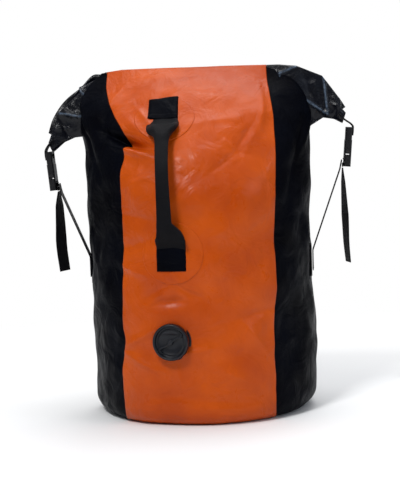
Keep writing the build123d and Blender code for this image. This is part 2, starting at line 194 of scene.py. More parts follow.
def painted_crease_highlights(tree, where, colour, pale):
    """The colour with a painted highlight: pale broken lines where the crease attribute is high, standing
    in for light caught on the creases.
    """
    mark = node(tree, "ShaderNodeAttribute", attribute_name="crease_highlight")
    speckle = node(tree, "ShaderNodeTexNoise", Scale=220.0, Detail=4.0)
    tree.links.new(where, speckle.inputs["Vector"])
    speckled = ramp(tree, speckle.outputs["Fac"], 0.4, 0.6, (0.25, 0.25, 0.25), (1, 1, 1))
    broken = node(tree, "ShaderNodeMath", operation="MULTIPLY")
    tree.links.new(mark.outputs["Fac"], broken.inputs[0])
    tree.links.new(speckled, broken.inputs[1])
    blend = node(tree, "ShaderNodeMix", data_type="RGBA")
    factor, first, second = 0, 6, 7
    tree.links.new(broken.outputs["Value"], blend.inputs[factor])
    tree.links.new(colour, blend.inputs[first])
    blend.inputs[second].default_value = (*pale, 1)
    return blend.outputs[2]


def tarpaulin(name, dark, light, roughness, coat, specular, crease_highlight=None):
    """Coated fabric: mottled colour, soft orange-peel wrinkles and the scrim's faint grid. An optional pale
    colour paints highlights along marked creases.
    """
    material, tree, shader = new_material(name)
    where = coordinates(tree)
    mottle = node(tree, "ShaderNodeTexNoise", Scale=14.0, Detail=4.0, Roughness=0.55)
    tree.links.new(where, mottle.inputs["Vector"])
    colour = ramp(tree, mottle.outputs["Fac"], 0.35, 0.68, dark, light)
    # painted highlight: the optional pale colour is laid along the marked creases
    if crease_highlight:
        colour = painted_crease_highlights(tree, where, colour, crease_highlight)
    tree.links.new(colour, shader.inputs["Base Color"])
    smear = node(tree, "ShaderNodeTexNoise", Scale=38.0, Detail=5.0, Roughness=0.6, Distortion=0.6)
    tree.links.new(where, smear.inputs["Vector"])
    gloss = node(tree, "ShaderNodeMapRange")
    gloss.inputs["From Min"].default_value = 0.3
    gloss.inputs["From Max"].default_value = 0.7
    gloss.inputs["To Min"].default_value = roughness - 0.08
    gloss.inputs["To Max"].default_value = roughness + 0.12
    tree.links.new(smear.outputs["Fac"], gloss.inputs["Value"])
    tree.links.new(gloss.outputs["Result"], shader.inputs["Roughness"])
    soft = node(tree, "ShaderNodeTexNoise", Scale=26.0, Detail=3.0, Roughness=0.5, Distortion=1.2)
    tree.links.new(where, soft.inputs["Vector"])
    first = bump(tree, soft.outputs["Fac"], shader, 0.0050, 0.7)
    fine = node(tree, "ShaderNodeTexNoise", Scale=420.0, Detail=2.0)
    tree.links.new(where, fine.inputs["Vector"])
    second = bump(tree, fine.outputs["Fac"], shader, 0.00018, 0.5, first)
    grid = node(tree, "ShaderNodeTexBrick", Scale=1.0)
    grid.offset = 0.0
    thread = 0.0012
    grid.inputs["Brick Width"].default_value = thread
    grid.inputs["Row Height"].default_value = thread
    grid.inputs["Mortar Size"].default_value = 0.00018
    around = node(tree, "ShaderNodeUVMap", uv_map="cloth")
    tree.links.new(around.outputs["UV"], grid.inputs["Vector"])
    bump(tree, grid.outputs["Fac"], shader, 0.00012, 0.35, second)
    shader.inputs["Coat Weight"].default_value = coat
    shader.inputs["Coat Roughness"].default_value = 0.22
    shader.inputs["Specular IOR Level"].default_value = specular
    return material


def webbing_material(name, dark, light):
    """Woven strap: chevron ribs that follow the strap's own UVs, in metres."""
    material, tree, shader = new_material(name)
    pitch = 0.0016
    uv = node(tree, "ShaderNodeUVMap", uv_map="cloth")
    ribs = []
    for turn in (38, -38):
        mapping = node(tree, "ShaderNodeMapping")
        mapping.inputs["Rotation"].default_value = (0, 0, math.radians(turn))
        tree.links.new(uv.outputs["UV"], mapping.inputs["Vector"])
        wave = node(tree, "ShaderNodeTexWave", Scale=1 / (3.18 * pitch), Distortion=0.0)
        tree.links.new(mapping.outputs["Vector"], wave.inputs["Vector"])
        ribs.append(wave.outputs["Fac"])
    weave = node(tree, "ShaderNodeMath", operation="MULTIPLY")
    tree.links.new(ribs[0], weave.inputs[0])
    tree.links.new(ribs[1], weave.inputs[1])
    lint = node(tree, "ShaderNodeTexNoise", Scale=700.0, Detail=3.0)
    tree.links.new(coordinates(tree), lint.inputs["Vector"])
    tree.links.new(ramp(tree, lint.outputs["Fac"], 0.3, 0.75, dark, light), shader.inputs["Base Color"])
    first = bump(tree, weave.outputs["Value"], shader, 0.0006, 0.8)
    bump(tree, lint.outputs["Fac"], shader, 0.0003, 0.5, first)
    shader.inputs["Roughness"].default_value = 0.6
    shader.inputs["Specular IOR Level"].default_value = 0.1
    shader.inputs["Sheen Weight"].default_value = 0.02
    shader.inputs["Sheen Roughness"].default_value = 0.45
    return material


def plastic(name, colour, roughness):
    """Moulded plastic with a fine spark-eroded texture and faint handling marks."""
    material, tree, shader = new_material(name)
    where = coordinates(tree)
    shader.inputs["Specular IOR Level"].default_value = 0.3
    grain = node(tree, "ShaderNodeTexNoise", Scale=1500.0, Detail=2.0)
    tree.links.new(where, grain.inputs["Vector"])
    bump(tree, grain.outputs["Fac"], shader, 0.00008, 0.6)
    wear = node(tree, "ShaderNodeTexNoise", Scale=90.0, Detail=4.0)
    tree.links.new(where, wear.inputs["Vector"])
    pale = tuple(c * 1.7 for c in colour)
    tree.links.new(ramp(tree, wear.outputs["Fac"], 0.4, 0.8, colour, pale), shader.inputs["Base Color"])
    gloss = node(tree, "ShaderNodeMapRange")
    gloss.inputs["To Min"].default_value = roughness - 0.08
    gloss.inputs["To Max"].default_value = roughness + 0.1
    tree.links.new(wear.outputs["Fac"], gloss.inputs["Value"])
    tree.links.new(gloss.outputs["Result"], shader.inputs["Roughness"])
    return material


# ---- Mesh helpers ------------------------------------------------------------------------
def add_piece(name, points, faces, material, body, uvs=None, replaces=()):
    """A mesh piece from points in millimetres; uvs are per point, in millimetres of cloth."""
    mesh = bpy.data.meshes.new(name)
    points = np.asarray(points, float) * MM
    mesh.from_pydata([tuple(p) for p in points], [], [tuple(f) for f in faces])
    mesh.validate()
    layer = mesh.uv_layers.new(name="cloth")
    if uvs is None:
        uvs = points[:, (0, 2)] / MM
    flat = np.asarray(uvs, float)[[loop.vertex_index for loop in mesh.loops]] * MM
    layer.data.foreach_set("uv", flat.ravel())
    mesh.polygons.foreach_set("use_smooth", [True] * len(mesh.polygons))
    mesh.materials.append(material)
    piece = bpy.data.objects.new(name, mesh)
    bpy.context.scene.collection.objects.link(piece)
    if isinstance(body, str):
        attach(piece, body)
    else:
        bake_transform(piece)
    if replaces:
        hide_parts(*replaces)
    return piece


def grid_faces(rows, columns, closed=False):
    faces = []
    last = columns if closed else columns - 1
    for r in range(rows - 1):
        for c in range(last):
            d = (c + 1) % columns
            faces.append((r * columns + c, r * columns + d, (r + 1) * columns + d, (r + 1) * columns + c))
    return faces


def hermite(knots, values, at):
    """A smooth curve through (knot, value) pairs, with no overshoot at flat stretches."""
    knots, values = np.asarray(knots, float), np.asarray(values, float)
    step = np.diff(knots)
    slope = np.diff(values) / step
    tangent = np.concatenate([[slope[0]], (slope[1:] + slope[:-1]) / 2, [slope[-1]]])
    flat = np.concatenate([[False], slope[1:] * slope[:-1] <= 0, [False]])
    tangent[flat] = 0
    i = np.clip(np.searchsorted(knots, at) - 1, 0, len(step) - 1)
    t = (np.clip(at, knots[0], knots[-1]) - knots[i]) / step[i]
    h00, h10 = 2 * t**3 - 3 * t**2 + 1, t**3 - 2 * t**2 + t
    return h00 * values[i] + h10 * step[i] * tangent[i] + (1 - h00) * values[i + 1] + (
        (t**3 - t**2) * step[i] * tangent[i + 1]
    )


# ---- The bag's surface -------------------------------------------------------------------
BODY_RADIUS = 175.0
WALL_LENGTH = 634.0     # distance along the wall, from its inner edge under the bag up to the crest
FOOT = 9.0              # where the wall leaves the flat base
SHEET = 0.9             # thickness of the cloth
SEAM_LIMIT = -139       # the left seam goes no further out than the crest's end
ORANGE_LEFT, ORANGE_RIGHT = -141, 112     # where the orange ends on the roll
ROLL_SINK = 1.2         # how far the roll sits down behind the crest
# Profile rows: distance along the wall, height, half width, half depth, sideways shift
PROFILE = np.array([
    (0, 0, 138, 138, 0),
    (9, 0, 147, 147, 0),
    (20, 2.2, 157.7, 157.7, 0),
    (31, 8.2, 166.8, 166.8, 0),
    (42, 17.3, 172.8, 172.8, 0),
    (53, 28, 175, 175, 0),
    (155, 130, 175, 175, 0),
    (255, 230, 175, 175, 0),
    (355, 330, 175, 175, 0),
    (406, 380, 175, 164, -1),
    (453, 420, 178, 141, -2),
    (500, 455, 181, 111, -4),
    (544, 485, 179, 79, -6),
    (584, 510, 168, 47, -8),
    (617, 530, 151, 21, -10),
    (WALL_LENGTH, 541, 139, 7, -10),
], float)
# The front panel's edges: (height, x)
FRONT_SEAM_LEFT = [
    (0, -117), (39, -117), (87, -116), (129, -110), (151, -113), (263, -113), (343, -116),
    (382, -114), (408, -106), (428, -103), (446, -109), (470, -124), (500, -136), (541, -142),
]
FRONT_SEAM_RIGHT = [
    (0, 111), (80, 111), (167, 114), (250, 117), (390, 121), (468, 119), (525, 113), (541, 112),
]

rng = np.random.default_rng(11)
WAVES = [
    (rng.normal(size=3), wavelength, rng.uniform(0, 2 * math.pi), depth)
    for wavelength, depth, count in ((210, 0.9, 6), (105, 0.45, 8), (52, 0.19, 10), (27, 0.06, 12))
    for _ in range(count)
]
RELIEF = 1.3            # strength of the waves and creases together
# Creases: arc position round the front, distance along the wall, angle, length, width, depth
CREASES = [
    (-112, 470, -20, 40, 10, -19.0),   # shoulder dent on the left
    (-100, 447, -16, 34, 8, 7.5),      # the ridge under it
    (-62, 458, -30, 18, 5, -3.0),      # its sharp tip
    (-84, 492, -50, 34, 12, 2.5),
    (-150, 500, 70, 50, 16, -5.0),
    (-38, 214, 4, 24, 8, -5.0),        # hollow above the valve
    (-12, 228, -32, 26, 6, -2.6),
    (-66, 228, 30, 26, 6, -2.4),
    (-92, 158, 28, 30, 7, 3.4),        # puckers round the valve
    (-90, 122, -24, 34, 6, 3.2),
    (4, 140, 8, 24, 6, 2.2),
    (-30, 100, -80, 22, 7, 2.4),
    (-98, 300, 14, 26, 9, -3.4),
    (-104, 262, -18, 30, 8, 3.0),
    (-96, 340, -8, 28, 8, -2.6),
    (-88, 396, 20, 30, 7, 2.6),
    (92, 150, -52, 34, 6, 2.6),
    (88, 190, 12, 34, 8, -2.8),
    (60, 96, -28, 46, 9, 2.4),
    (44, 420, 38, 26, 5, -1.8),        # smudged folds up on the right
    (58, 452, -40, 22, 5, 1.8),
    (82, 470, 60, 26, 6, -2.2),
    (30, 500, 10, 34, 9, 1.8),
    (-70, 512, -62, 30, 8, 2.6),
    (-60, 70, 8, 60, 12, -1.8),
    (30, 62, -6, 60, 10, -1.5),
    (96, 470, 66, 40, 10, 1.6),
    (74, 440, -24, 30, 9, -1.6),
    (112, 520, 82, 46, 9, 2.4),
    (-130, 560, 66, 30, 8, 2.6),
    (-86, 540, 30, 40, 12, -2.0),
    (20, 560, -14, 70, 16, 2.0),
    (190, 420, 70, 80, 15, -4.0),
    (240, 480, 50, 70, 14, 3.5),
    (-220, 470, -60, 80, 14, -4.5),
    (-200, 300, 80, 90, 20, -3.0),
    (215, 260, -82, 100, 22, -3.0),
    (400, 470, 78, 90, 16, -6.0),
    (470, 500, 88, 80, 14, 5.0),
    (540, 480, -84, 90, 18, -7.0),
    (-420, 470, -76, 90, 16, -6.0),
    (-480, 510, 86, 80, 14, 5.0),
    (500, 240, 20, 110, 24, -3.0),
    (-470, 200, -24, 110, 24, -3.0),
    (460, 110, -12, 90, 18, 2.5),
    (-400, 130, 16, 80, 18, -2.5),
]


def relief(phi, along, place):
    """How far the cloth stands out of its plain surface, in millimetres."""
    arc = BODY_RADIUS * (np.mod(phi + math.pi, 2 * math.pi) - math.pi)
    out = np.zeros_like(arc)
    for direction, wavelength, phase, depth in WAVES:
        swing = place @ (direction / np.linalg.norm(direction)) * 2 * math.pi / wavelength
        out += depth * np.sin(swing + phase + 0.6 * np.sin(swing * 0.37 + direction[0]))
    for x0, v0, degrees, length, width, depth in CREASES:
        c, s = math.cos(math.radians(degrees)), math.sin(math.radians(degrees))
        run = (arc - x0) * c + (along - v0) * s
        across = (along - v0) * c - (arc - x0) * s
        out += depth * np.exp(-((run / length) ** 2)) / (1 + (across / width) ** 2) ** 1.5
    foot = np.clip((along - FOOT) / 45, 0, 1)
    crest = np.clip((WALL_LENGTH - along) / 40, 0, 1)
    return RELIEF * out * foot * (0.15 + 0.85 * crest)


def plain(phi, along):
    """The bag's surface without its creases, at an angle from the front and a distance up."""
    z, a, b, shift = (hermite(PROFILE[:, 0], PROFILE[:, k], along) for k in (1, 2, 3, 4))
    x = shift + a * np.sin(phi)
    droop = np.clip(np.abs(x + 20) - 95, 0, None) * 0.12 * np.clip((along - 560) / 74, 0, 1)
    return np.stack([x, -b * np.cos(phi), z - droop * (x < 0)], -1)


def on_bag(phi, along, lift=0.0):
    """Points on the creased surface, lifted off it by so many millimetres."""
    phi, along = np.broadcast_arrays(np.asarray(phi, float), np.asarray(along, float))
    base = plain(phi, along)
    du = plain(phi + 0.004, along) - plain(phi - 0.004, along)
    dv = plain(phi, np.clip(along + 1, 0, WALL_LENGTH)) - plain(phi, np.clip(along - 1, 0, WALL_LENGTH))
    normal = np.cross(du, dv)
    normal /= np.linalg.norm(normal, axis=-1, keepdims=True) + 1e-9
    height = relief(phi, along, base) + lift
    return base + normal * height[..., None]


def along_at(height):
    """Distance up the wall at a height."""
    dense = np.linspace(FOOT, WALL_LENGTH, 1200)
    return np.interp(height, hermite(PROFILE[:, 0], PROFILE[:, 1], dense), dense)


def angle_at(x, along):
    """Angle from the front at which the surface has that x."""
    a = hermite(PROFILE[:, 0], PROFILE[:, 2], along)
    shift = hermite(PROFILE[:, 0], PROFILE[:, 4], along)
    return np.arcsin(np.clip((x - shift) / a, -1, 1))


def seam_angles(along):
    z = hermite(PROFILE[:, 0], PROFILE[:, 1], along)
    left = hermite(*zip(*FRONT_SEAM_LEFT), z)
    right = hermite(*zip(*FRONT_SEAM_RIGHT), z)
    return angle_at(np.maximum(left, SEAM_LIMIT), along), angle_at(right, along)


def bag_sheet(name, low, high, columns, lift, material, replaces, edge=0.0):
    """A panel of the bag between two angles, each given for every row."""
    rows = 230
    along = np.concatenate([np.linspace(0, 60, 30), np.linspace(62, WALL_LENGTH, rows - 30)])
    share = np.linspace(0, 1, columns)
    lo, hi = low(along), high(along)
    phi = lo[:, None] + (hi - lo)[:, None] * share[None, :]
    v = np.broadcast_to(along[:, None], phi.shape)
    rim = np.minimum(share, 1 - share)[None, :] * np.ones_like(phi)
    raised = lift + edge * np.exp(-((rim * (hi - lo)[:, None] * BODY_RADIUS / 5.0) ** 2))
    points = on_bag(phi, v, raised)
    uv = np.stack([phi * BODY_RADIUS, v], -1)
    piece = add_piece(
        name, points.reshape(-1, 3), grid_faces(rows, columns), material, "bag",
        uv.reshape(-1, 2), replaces,
    )
    solid = piece.modifiers.new("thickness", "SOLIDIFY")
    solid.thickness = SHEET * MM
    solid.offset = -1


def make_bag(orange, black):
    bag_sheet(
        "front_cloth", lambda v: seam_angles(v)[0], lambda v: seam_angles(v)[1], 170, SHEET, orange,
        ("front_panel", "left_seam_tape", "right_seam_tape"), 0.25,
    )
    lap = 8 / BODY_RADIUS
    bag_sheet(
        "back_cloth", lambda v: seam_angles(v)[1] - lap, lambda v: 2 * math.pi + seam_angles(v)[0] + lap,
        330, 0.0, black, ("back_panel",),
    )


# ---- The roll and the wings --------------------------------------------------------------
LEAN = math.radians(52)
ROLL_UP = np.array([0, -math.sin(LEAN), math.cos(LEAN)])
ROLL_OUT = np.array([0, math.cos(LEAN), math.sin(LEAN)])
ROLL_MIDDLE = np.array([0, 20, 530]) - ROLL_UP * 30 + ROLL_OUT * 8.2


def roll_section(turns=2.6, points=120):
    """The rolled sheet's line in its own plane: (up, out), from the core to the outside."""
    out = []
    for i in range(points):
        t = i / (points - 1)
        angle = 2 * math.pi * turns * t
        half_long = 21 + 8.2 * t
        half_thick = 1.4 + 5.9 * t
        c, s = math.cos(angle), math.sin(angle)
        out.append((
            half_long * math.copysign(abs(c) ** 0.55, c),
            half_thick * math.copysign(abs(s) ** 0.75, s),
        ))
    return out


def make_crest(orange, black):
    """The cloth turning over the crest from the front panel on to the roll."""
    low, high = (float(edge[0]) for edge in seam_angles(np.array([WALL_LENGTH])))
    steps, columns = 26, 80
    lift = 0.95
    end = ROLL_MIDDLE + ROLL_UP * 22 + ROLL_OUT * 7.2 - np.array([0, 0, ROLL_SINK])
    arrive = -ROLL_UP * 26
    spans = (
        ("crest_fold", low, high, orange, "orange_tarpaulin"),
        ("crest_fold_right", high, high + 24 / BODY_RADIUS, black, "black_tarpaulin"),
        ("crest_fold_left", low - 14 / BODY_RADIUS, low, black, "black_tarpaulin"),
    )
    for name, first, last, material, slot in spans:
        phi = np.linspace(first, last, columns)
        start = on_bag(phi, WALL_LENGTH - 3, lift)
        below = on_bag(phi, WALL_LENGTH - 12, lift)
        points, uvs = [], []
        for i in range(columns):
            leave = start[i] - below[i]
            leave = leave / np.linalg.norm(leave) * 9
            stop = np.array([start[i][0], end[1], end[2]])
            for k in range(steps):
                t = k / (steps - 1)
                from_start = 2 * t**3 - 3 * t**2 + 1
                to_stop = -2 * t**3 + 3 * t**2
                bend = leave * (t**3 - 2 * t**2 + t) + arrive * (t**3 - t**2)
                points.append(start[i] * from_start + stop * to_stop + bend)
                uvs.append((start[i][0], k))
        add_piece(name, np.array(points), grid_faces(columns, steps), material, "bag", np.array(uvs))


# Stations of the roll's bent ends: x, y, z, tilt of the band, size along and through it.
# The first two of each end lie on the straight roll's own line.
ROLL_LINE = (ROLL_MIDDLE[1], ROLL_MIDDLE[2] - ROLL_SINK)
ROLL_END_RIGHT = [
    (ORANGE_RIGHT, *ROLL_LINE, 0, 1.0, 1.0), (136, *ROLL_LINE, 4, 0.98, 0.95),
    (166, 34, 508, 16, 0.86, 0.8),
    (192, 21, 492, 36, 0.74, 0.7), (212, 13, 477, 50, 0.6, 0.6), (226, 10, 464, 58, 0.42, 0.5),
]
ROLL_END_LEFT = [
    (ORANGE_LEFT, *ROLL_LINE, 0, 1.0, 1.0), (-160, *ROLL_LINE, -6, 0.96, 0.93),
    (-184, 34, 494, -20, 0.82, 0.8),
    (-206, 22, 474, -42, 0.7, 0.7), (-220, 14, 456, -55, 0.56, 0.6), (-229, 10, 440, -62, 0.4, 0.5),
]


def roll_piece(name, points, rows, columns, uvs, material, nodes):
    piece = add_piece(name, points, grid_faces(rows, columns), material, "bag", uvs, nodes)
    solid = piece.modifiers.new("thickness", "SOLIDIFY")
    solid.thickness = SHEET * MM
    solid.offset = 0


def make_roll(orange, black):
    """The collar rolled up behind the crest: orange in the middle, black where it bends down."""
    section = roll_section()
    columns = 64
    points, uvs = [], []
    for up, out in section:
        for x in np.linspace(ORANGE_LEFT, ORANGE_RIGHT, columns):
            wave = 0.45 * math.sin(x * 0.045 + up * 0.05) + 0.3 * math.sin(x * 0.11 + 1.3)
            p = ROLL_MIDDLE + ROLL_UP * up + ROLL_OUT * (out + wave)
            points.append((x, p[1], p[2] - ROLL_SINK))
            uvs.append((x, up))
    roll_piece("roll_middle", points, len(section), columns, uvs, orange,
               ("closure_roll", "stiffener_strip"))
    for name, stations in (("roll_right", ROLL_END_RIGHT), ("roll_left", ROLL_END_LEFT)):
        path = smooth_path(stations, 44)[0]
        swing = np.clip(np.abs(path[:, 3]) / 40, 0, 1)
        points, uvs = [], []
        for up, out in section:
            for i, (x, y, z, tilt, long, thick) in enumerate(path):
                angle = math.radians(tilt)
                tilted = np.array([math.sin(angle), 0, math.cos(angle)])
                up_way = ROLL_UP * (1 - swing[i]) + tilted * swing[i]
                out_way = ROLL_OUT * (1 - swing[i]) + np.array([0, 1.0, 0]) * swing[i]
                up_way /= np.linalg.norm(up_way)
                out_way /= np.linalg.norm(out_way)
                fold = 0.35 * math.sin(0.35 * i + up * 0.12)
                points.append(np.array([x, y, z]) + up_way * up * long + out_way * (out * thick + fold))
                uvs.append((x, up))
        roll_piece(name, points, len(section), len(path), uvs, black, ())


# ---- Wings -------------------------------------------------------------------------------
def resample(line, count):
    """Points spaced evenly along a line of (x, z) corners."""
    line = np.asarray(line, float)
    reach = np.concatenate([[0], np.cumsum(np.linalg.norm(np.diff(line, axis=0), axis=1))])
    at = np.linspace(0, reach[-1], count)
    return np.stack([np.interp(at, reach, line[:, k]) for k in range(line.shape[1])], -1)


def to_segment(x, z, segment):
    """Distance of points from a line segment (x0, z0, x1, z1)."""
    x0, z0, x1, z1 = segment
    dx, dz = x1 - x0, z1 - z0
    t = np.clip(((x - x0) * dx + (z - z0) * dz) / (dx * dx + dz * dz), 0, 1)
    return np.hypot(x - x0 - t * dx, z - z0 - t * dz)


# Outlines as (x, z) corners; ridges as ((x0, z0, x1, z1), width, depth). Deep ones get a painted highlight.
HIGHLIGHT_RIDGE_DEPTH = 3.2
RIGHT_WING = {
    "upper": [(113, 541), (132, 541), (160, 538), (200, 521), (228, 483), (230, 469), (236, 462)],
    "lower": [(124, 380), (150, 406), (171, 421), (180, 443), (200, 455), (217, 452), (230, 445)],
    "ridges": [
        ((160, 538, 133, 527), 3.5, 4.6), ((133, 527, 133, 513), 3.5, 4.6),
        ((133, 513, 204, 462), 4.0, 4.4), ((202, 519, 207, 460), 3.2, 3.4),
        ((150, 494, 190, 448), 10, -4.6), ((172, 530, 180, 494), 8, -3.6),
        ((216, 500, 224, 462), 6, 2.6), ((186, 508, 196, 474), 6, 2.0),
        ((206, 478, 232, 470), 3.5, 2.4), ((150, 436, 172, 428), 5, 2.0),
    ],
}
LEFT_WING = {
    "upper": [(-137, 535), (-150, 531), (-186, 516), (-184, 509), (-221, 477), (-223, 469), (-238, 431)],
    "lower": [(-124, 372), (-150, 400), (-172, 423), (-181, 438), (-195, 437), (-212, 430), (-231, 414)],
    "ridges": [
        ((-186, 514, -150, 470), 4, 4.0), ((-221, 477, -184, 470), 4, 4.4),
        ((-221, 474, -206, 440), 5, -3.0), ((-160, 520, -150, 440), 12, -4.0),
        ((-200, 492, -176, 446), 8, 3.0), ((-228, 452, -205, 452), 3.5, 2.4),
        ((-212, 484, -200, 470), 4, 3.0), ((-176, 500, -168, 470), 6, -2.4),
    ],
}


def wing_sheet(name, shape, side, material, node_names):
    """Two sheets pinched flat along the upper edge, flaring open toward the bag below."""
    rows, columns = 60, 90
    upper, lower = resample(shape["upper"], columns), resample(shape["lower"], columns)
    share = np.linspace(0, 1, rows)[:, None, None]
    flat = lower[None] * (1 - share) + upper[None] * share
    x, z = flat[..., 0], flat[..., 1]
    t, s = np.meshgrid(np.linspace(0, 1, rows), np.linspace(0, 1, columns), indexing="ij")
    flare = 62 * (1 - t) ** 1.25 + 3
    half = 2.4 * (1 - np.abs(2 * t - 1) ** 6) ** 0.5 + flare * np.clip(1 - s * 1.35, 0, 1) ** 2.0
    half += 5.0 * np.clip((s - 0.72) / 0.28, 0, 1) * (1 - np.abs(2 * t - 1) ** 3)
    crease = np.zeros_like(x)
    for segment, width, depth in shape["ridges"]:
        crease += depth * np.exp(-((to_segment(x, z, segment) / width) ** 1.3))
    crease += 0.5 * np.sin(x * 0.11 + z * 0.05) * np.sin(z * 0.09 - x * 0.03)
    edge = 1 - np.abs(2 * t - 1) ** 8
    front = np.stack([x, -half - crease * edge, z], -1)
    rear = np.stack([x, half * 0.8 + 0.5 * crease * edge, z], -1)
    points = np.concatenate([front.reshape(-1, 3), rear.reshape(-1, 3)])
    faces = grid_faces(rows, columns)
    if side < 0:
        faces = [tuple(reversed(f)) for f in faces]
    count = rows * columns
    faces += [tuple(reversed([i + count for i in f])) for f in faces[: (rows - 1) * (columns - 1)]]
    rim = list(range(columns)) + [r * columns + columns - 1 for r in range(1, rows)]
    rim += [(rows - 1) * columns + c for c in range(columns - 2, -1, -1)]
    rim += [r * columns for r in range(rows - 2, 0, -1)]
    for i, j in zip(rim, rim[1:] + rim[:1]):
        quad = (i, i + count, j + count, j)
        faces.append(quad if side > 0 else tuple(reversed(quad)))
    uvs = points[:, (0, 2)]
    piece = add_piece(name, points, faces, material, "bag", uvs, node_names)
    # painted highlight: pale lines along the deepest ridges, stored per point for the material, half as
    # strong on the rear sheet
    crease_highlight = np.zeros_like(x)
    for segment, width, depth in shape["ridges"]:
        if depth > HIGHLIGHT_RIDGE_DEPTH:
            crease_highlight += np.exp(-((to_segment(x, z, segment) / 1.3) ** 2))
    crease_highlight = np.clip(crease_highlight, 0, 1).ravel()
    marks = piece.data.attributes.new("crease_highlight", "FLOAT", "POINT")
    marks.data.foreach_set("value", np.concatenate([crease_highlight, crease_highlight * 0.5]).astype(np.float32))


def make_wings(black):
    wing_sheet("wing_right", RIGHT_WING, 1, black, ("right_collar_wing", "right_roll_end"))
    wing_sheet("wing_left", LEFT_WING, -1, black, ("left_collar_wing", "left_roll_end"))


# ---- Patches -----------------------------------------------------------------------------
def disc(name, x, height, material, node_names):
    """A round reinforcing patch welded on the front, with a fine rim."""
    along = along_at(height)
    flat = 26
    around = 120
    radii = np.concatenate([np.linspace(0, 44, flat), [45, 45.6, 46, 46.2]])
    lifts = np.concatenate([np.full(flat, 1.9), [2.05, 1.95, 1.5, 0.6]])
    lifts[12:14] -= 0.35    # a weld ring half way out
    turns = np.linspace(0, 2 * math.pi, around, endpoint=False)
    r, a = np.meshgrid(radii, turns, indexing="ij")
    v = along + r * np.sin(a)
    phi = angle_at(x + r * np.cos(a), v)
    points = on_bag(phi, v, np.broadcast_to(lifts[:, None], r.shape))
    uv = np.stack([r * np.cos(a), r * np.sin(a)], -1).reshape(-1, 2)
    faces = [tuple(reversed(f)) for f in grid_faces(len(radii), around, closed=True)]
    add_piece(name, points.reshape(-1, 3), faces, material, "bag", uv, node_names)


def cover(name, corners, material, node_names, line):
    """A square patch over the handle's sewn end, softly pillowed.

    corners is (x0, x1, along0, along1). line is the share of its height where a seam crosses."""
    x0, x1, v0, v1 = corners
    count = 44
    u = np.linspace(0, 1, count)
    uu, vv = np.meshgrid(u, u, indexing="xy")
    edge = np.minimum(np.minimum(uu, 1 - uu) * (x1 - x0), np.minimum(vv, 1 - vv) * (v1 - v0))
    lift = 2.6 + 2.4 * (1 - np.exp(-edge / 2.2)) + 0.25 * np.sin(uu * 9) * np.sin(vv * 7)
    lift -= 0.6 * np.exp(-(((vv - line) * (v1 - v0)) ** 2))
    lift = np.where(edge < 0.05, 1.2, lift)
    v = v0 + (v1 - v0) * vv
    phi = angle_at(x0 + (x1 - x0) * uu, v)
    points = on_bag(phi, v, lift)
    uv = np.stack([uu * (x1 - x0), vv * (v1 - v0)], -1)
    add_piece(
        name, points.reshape(-1, 3), grid_faces(count, count), material, "bag",
        uv.reshape(-1, 2), node_names,
    )


def make_patches(orange, black):
    disc("disc_top", -44.0, 462.0, orange, ("top_handle_disc",))
    disc("disc_bottom", -34.0, 262.0, orange, ("bottom_handle_disc",))
    tall = 47
    top = along_at(460.0)
    low = along_at(235.0)
    cover("cover_top", (-69.7, -22.8, top, top + tall), black, ("top_handle_cover", "top_handle_tab"), 0.22)
    cover("cover_bottom", (-58.0, -13.8, low, low + tall), black,
          ("bottom_handle_cover", "bottom_handle_tab"), 0.3)


# ---- Webbing -----------------------------------------------------------------------------
def straight_path(knots, count):
    """Straight runs between knots, as a taut strap goes, with barely rounded bends."""
    line = resample(knots, count)
    soft = line.copy()
    soft[1:-1] = (line[:-2] + 2 * line[1:-1] + line[2:]) / 4
    reach = np.concatenate([[0], np.cumsum(np.linalg.norm(np.diff(soft, axis=0), axis=1))])
    return soft, reach


def smooth_path(knots, count):
    """A smooth curve through rows of knots, evenly spaced by distance."""
    knots = np.asarray(knots, float)
    reach = np.concatenate([[0], np.cumsum(np.linalg.norm(np.diff(knots[:, :3], axis=0), axis=1))])
    at = np.linspace(0, reach[-1], count)
    return np.stack([hermite(reach, knots[:, k], at) for k in range(knots.shape[1])], -1), at


def sweep(name, centres, sides, widths, thicknesses, at, material, body, replaces=(), ripple=None,
          capped=True):
    """A strap along centres. sides are unit width directions; ripple adds folds across it."""
    ring = 28
    turns = np.linspace(0, 2 * math.pi, ring, endpoint=False)
    c, s = np.cos(turns), np.sin(turns)
    flat_c = np.sign(c) * np.abs(c) ** 0.35
    flat_s = np.sign(s) * np.abs(s) ** 0.6
    tangent = np.gradient(centres, axis=0)
    tangent /= np.linalg.norm(tangent, axis=1, keepdims=True)
    sides = sides - tangent * np.sum(sides * tangent, axis=1, keepdims=True)
    sides /= np.linalg.norm(sides, axis=1, keepdims=True)
    normal = np.cross(tangent, sides)
    points, uvs = [], []
    for i, centre in enumerate(centres):
        fold = np.zeros(ring) if ripple is None else ripple[i] * np.cos(flat_c * 5.2 + 0.6 + i * 0.04)
        ring_points = centre + sides[i] * (flat_c * widths[i] / 2)[:, None]
        ring_points = ring_points + normal[i] * (flat_s * thicknesses[i] / 2 + fold)[:, None]
        points.append(ring_points)
        uvs.append(np.stack([flat_c * widths[i] / 2 + (s < 0) * 3.7, np.full(ring, at[i])], -1))
    points = np.concatenate(points)
    faces = [tuple(reversed(f)) for f in grid_faces(len(centres), ring, closed=True)]
    if capped:
        faces.append(tuple(range(ring)))
        faces.append(tuple(reversed(range(len(points) - ring, len(points)))))
    add_piece(name, points, faces, material, body, np.concatenate(uvs), replaces)


